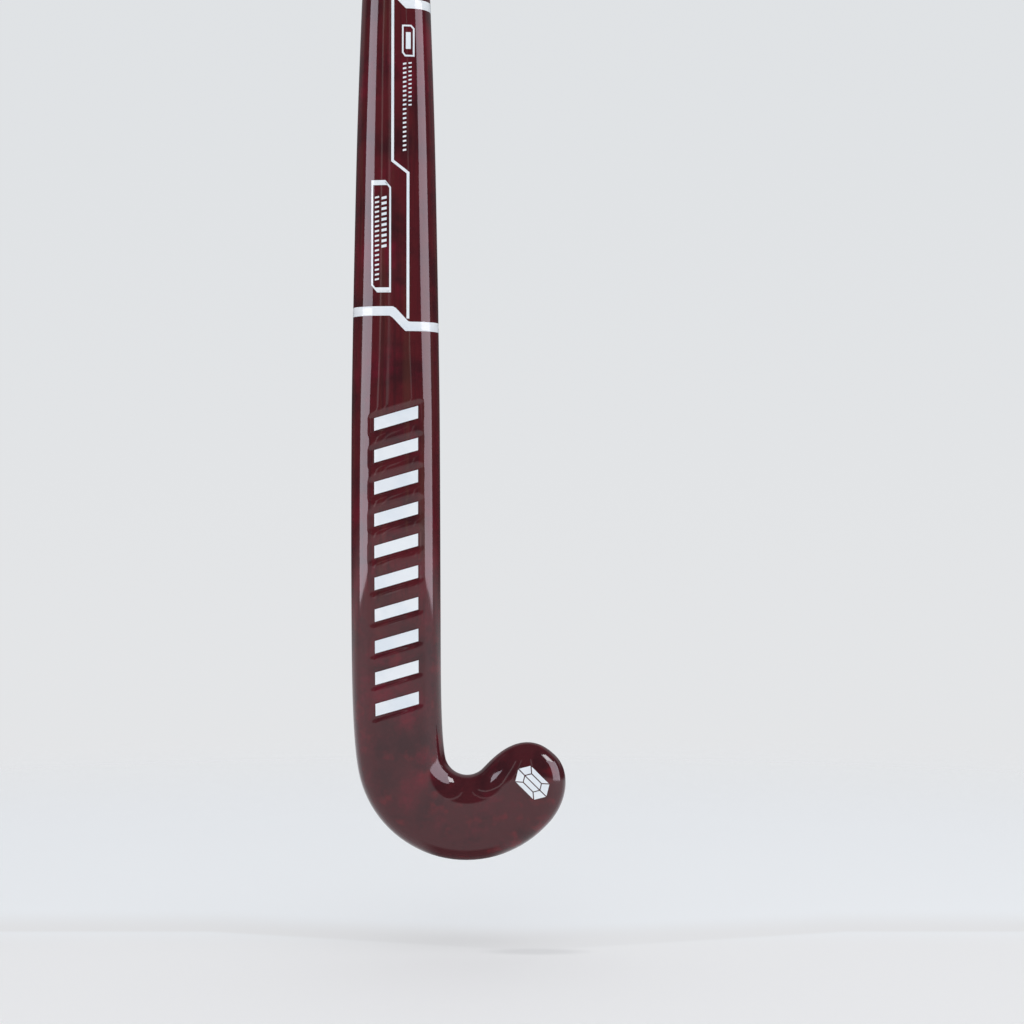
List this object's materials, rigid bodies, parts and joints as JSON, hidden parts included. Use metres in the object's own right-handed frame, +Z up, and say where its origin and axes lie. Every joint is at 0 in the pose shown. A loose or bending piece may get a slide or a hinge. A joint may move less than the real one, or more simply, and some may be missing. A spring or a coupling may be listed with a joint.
{
  "type": "field hockey stick",
  "caption": "Right-handed composite field hockey stick with a hooked head, flat gritty playing face, rounded back, bowed tapering shaft, stepped bands and a wrapped grip.",
  "frame": {"origin": "middle of the bounding box in plan, at the lowest point of the head", "axes": "+Z up the shaft from the head to the butt, +X towards the toe, +Y out of the flat playing face; the rounded back faces -Y"},
  "size_m": [0.1216, 0.0478, 0.927],
  "materials": {
    "lacquered_laminate": "clear gloss lacquer over dark red fibre laminate",
    "white_graphic": "white print under gloss lacquer",
    "grit_coat": "rough matt coat",
    "carbon": "bare woven carbon, as moulded",
    "foam": "open-cell foam",
    "aramid": "woven aramid set in resin",
    "nylon": "thin nylon film",
    "cushion": "soft closed-cell foam strip",
    "grip": "soft perforated polyurethane",
    "finishing_tape": "stretched vinyl tape",
    "cap_rubber": "moulded rubber"
  },
  "bodies": {
    "root": {"outer_laminate": "lacquered_laminate", "aramid_face_ply": "aramid", "head_core": "foam", "inner_tube_toe_side": "carbon", "bladder_toe_side": "nylon", "inner_tube_heel_side": "carbon", "bladder_heel_side": "nylon", "handle_plug": "foam", "butt_cap": "cap_rubber", "grip_cushion": "cushion", "grip_wrap": "grip", "grip_finishing_tape": "finishing_tape", "face_grit_coat": "grit_coat", "band_lower": "white_graphic", "band_upper": "white_graphic", "back_line": "white_graphic", "face_line": "white_graphic", "back_frame_large": "white_graphic", "back_frame_small": "white_graphic", "face_head_line": "white_graphic", "face_emblem": "white_graphic", "toe_emblem": "white_graphic", "face_bar_1": "white_graphic", "face_bar_2": "white_graphic", "face_bar_3": "white_graphic", "face_bar_4": "white_graphic", "face_bar_5": "white_graphic", "face_bar_6": "white_graphic", "back_inlay_1": "white_graphic", "back_inlay_2": "white_graphic", "back_inlay_3": "white_graphic", "back_inlay_4": "white_graphic", "back_inlay_5": "white_graphic", "back_inlay_6": "white_graphic", "back_inlay_7": "white_graphic", "back_inlay_8": "white_graphic", "back_inlay_9": "white_graphic", "back_inlay_10": "white_graphic"}
  },
  "joints": []
}
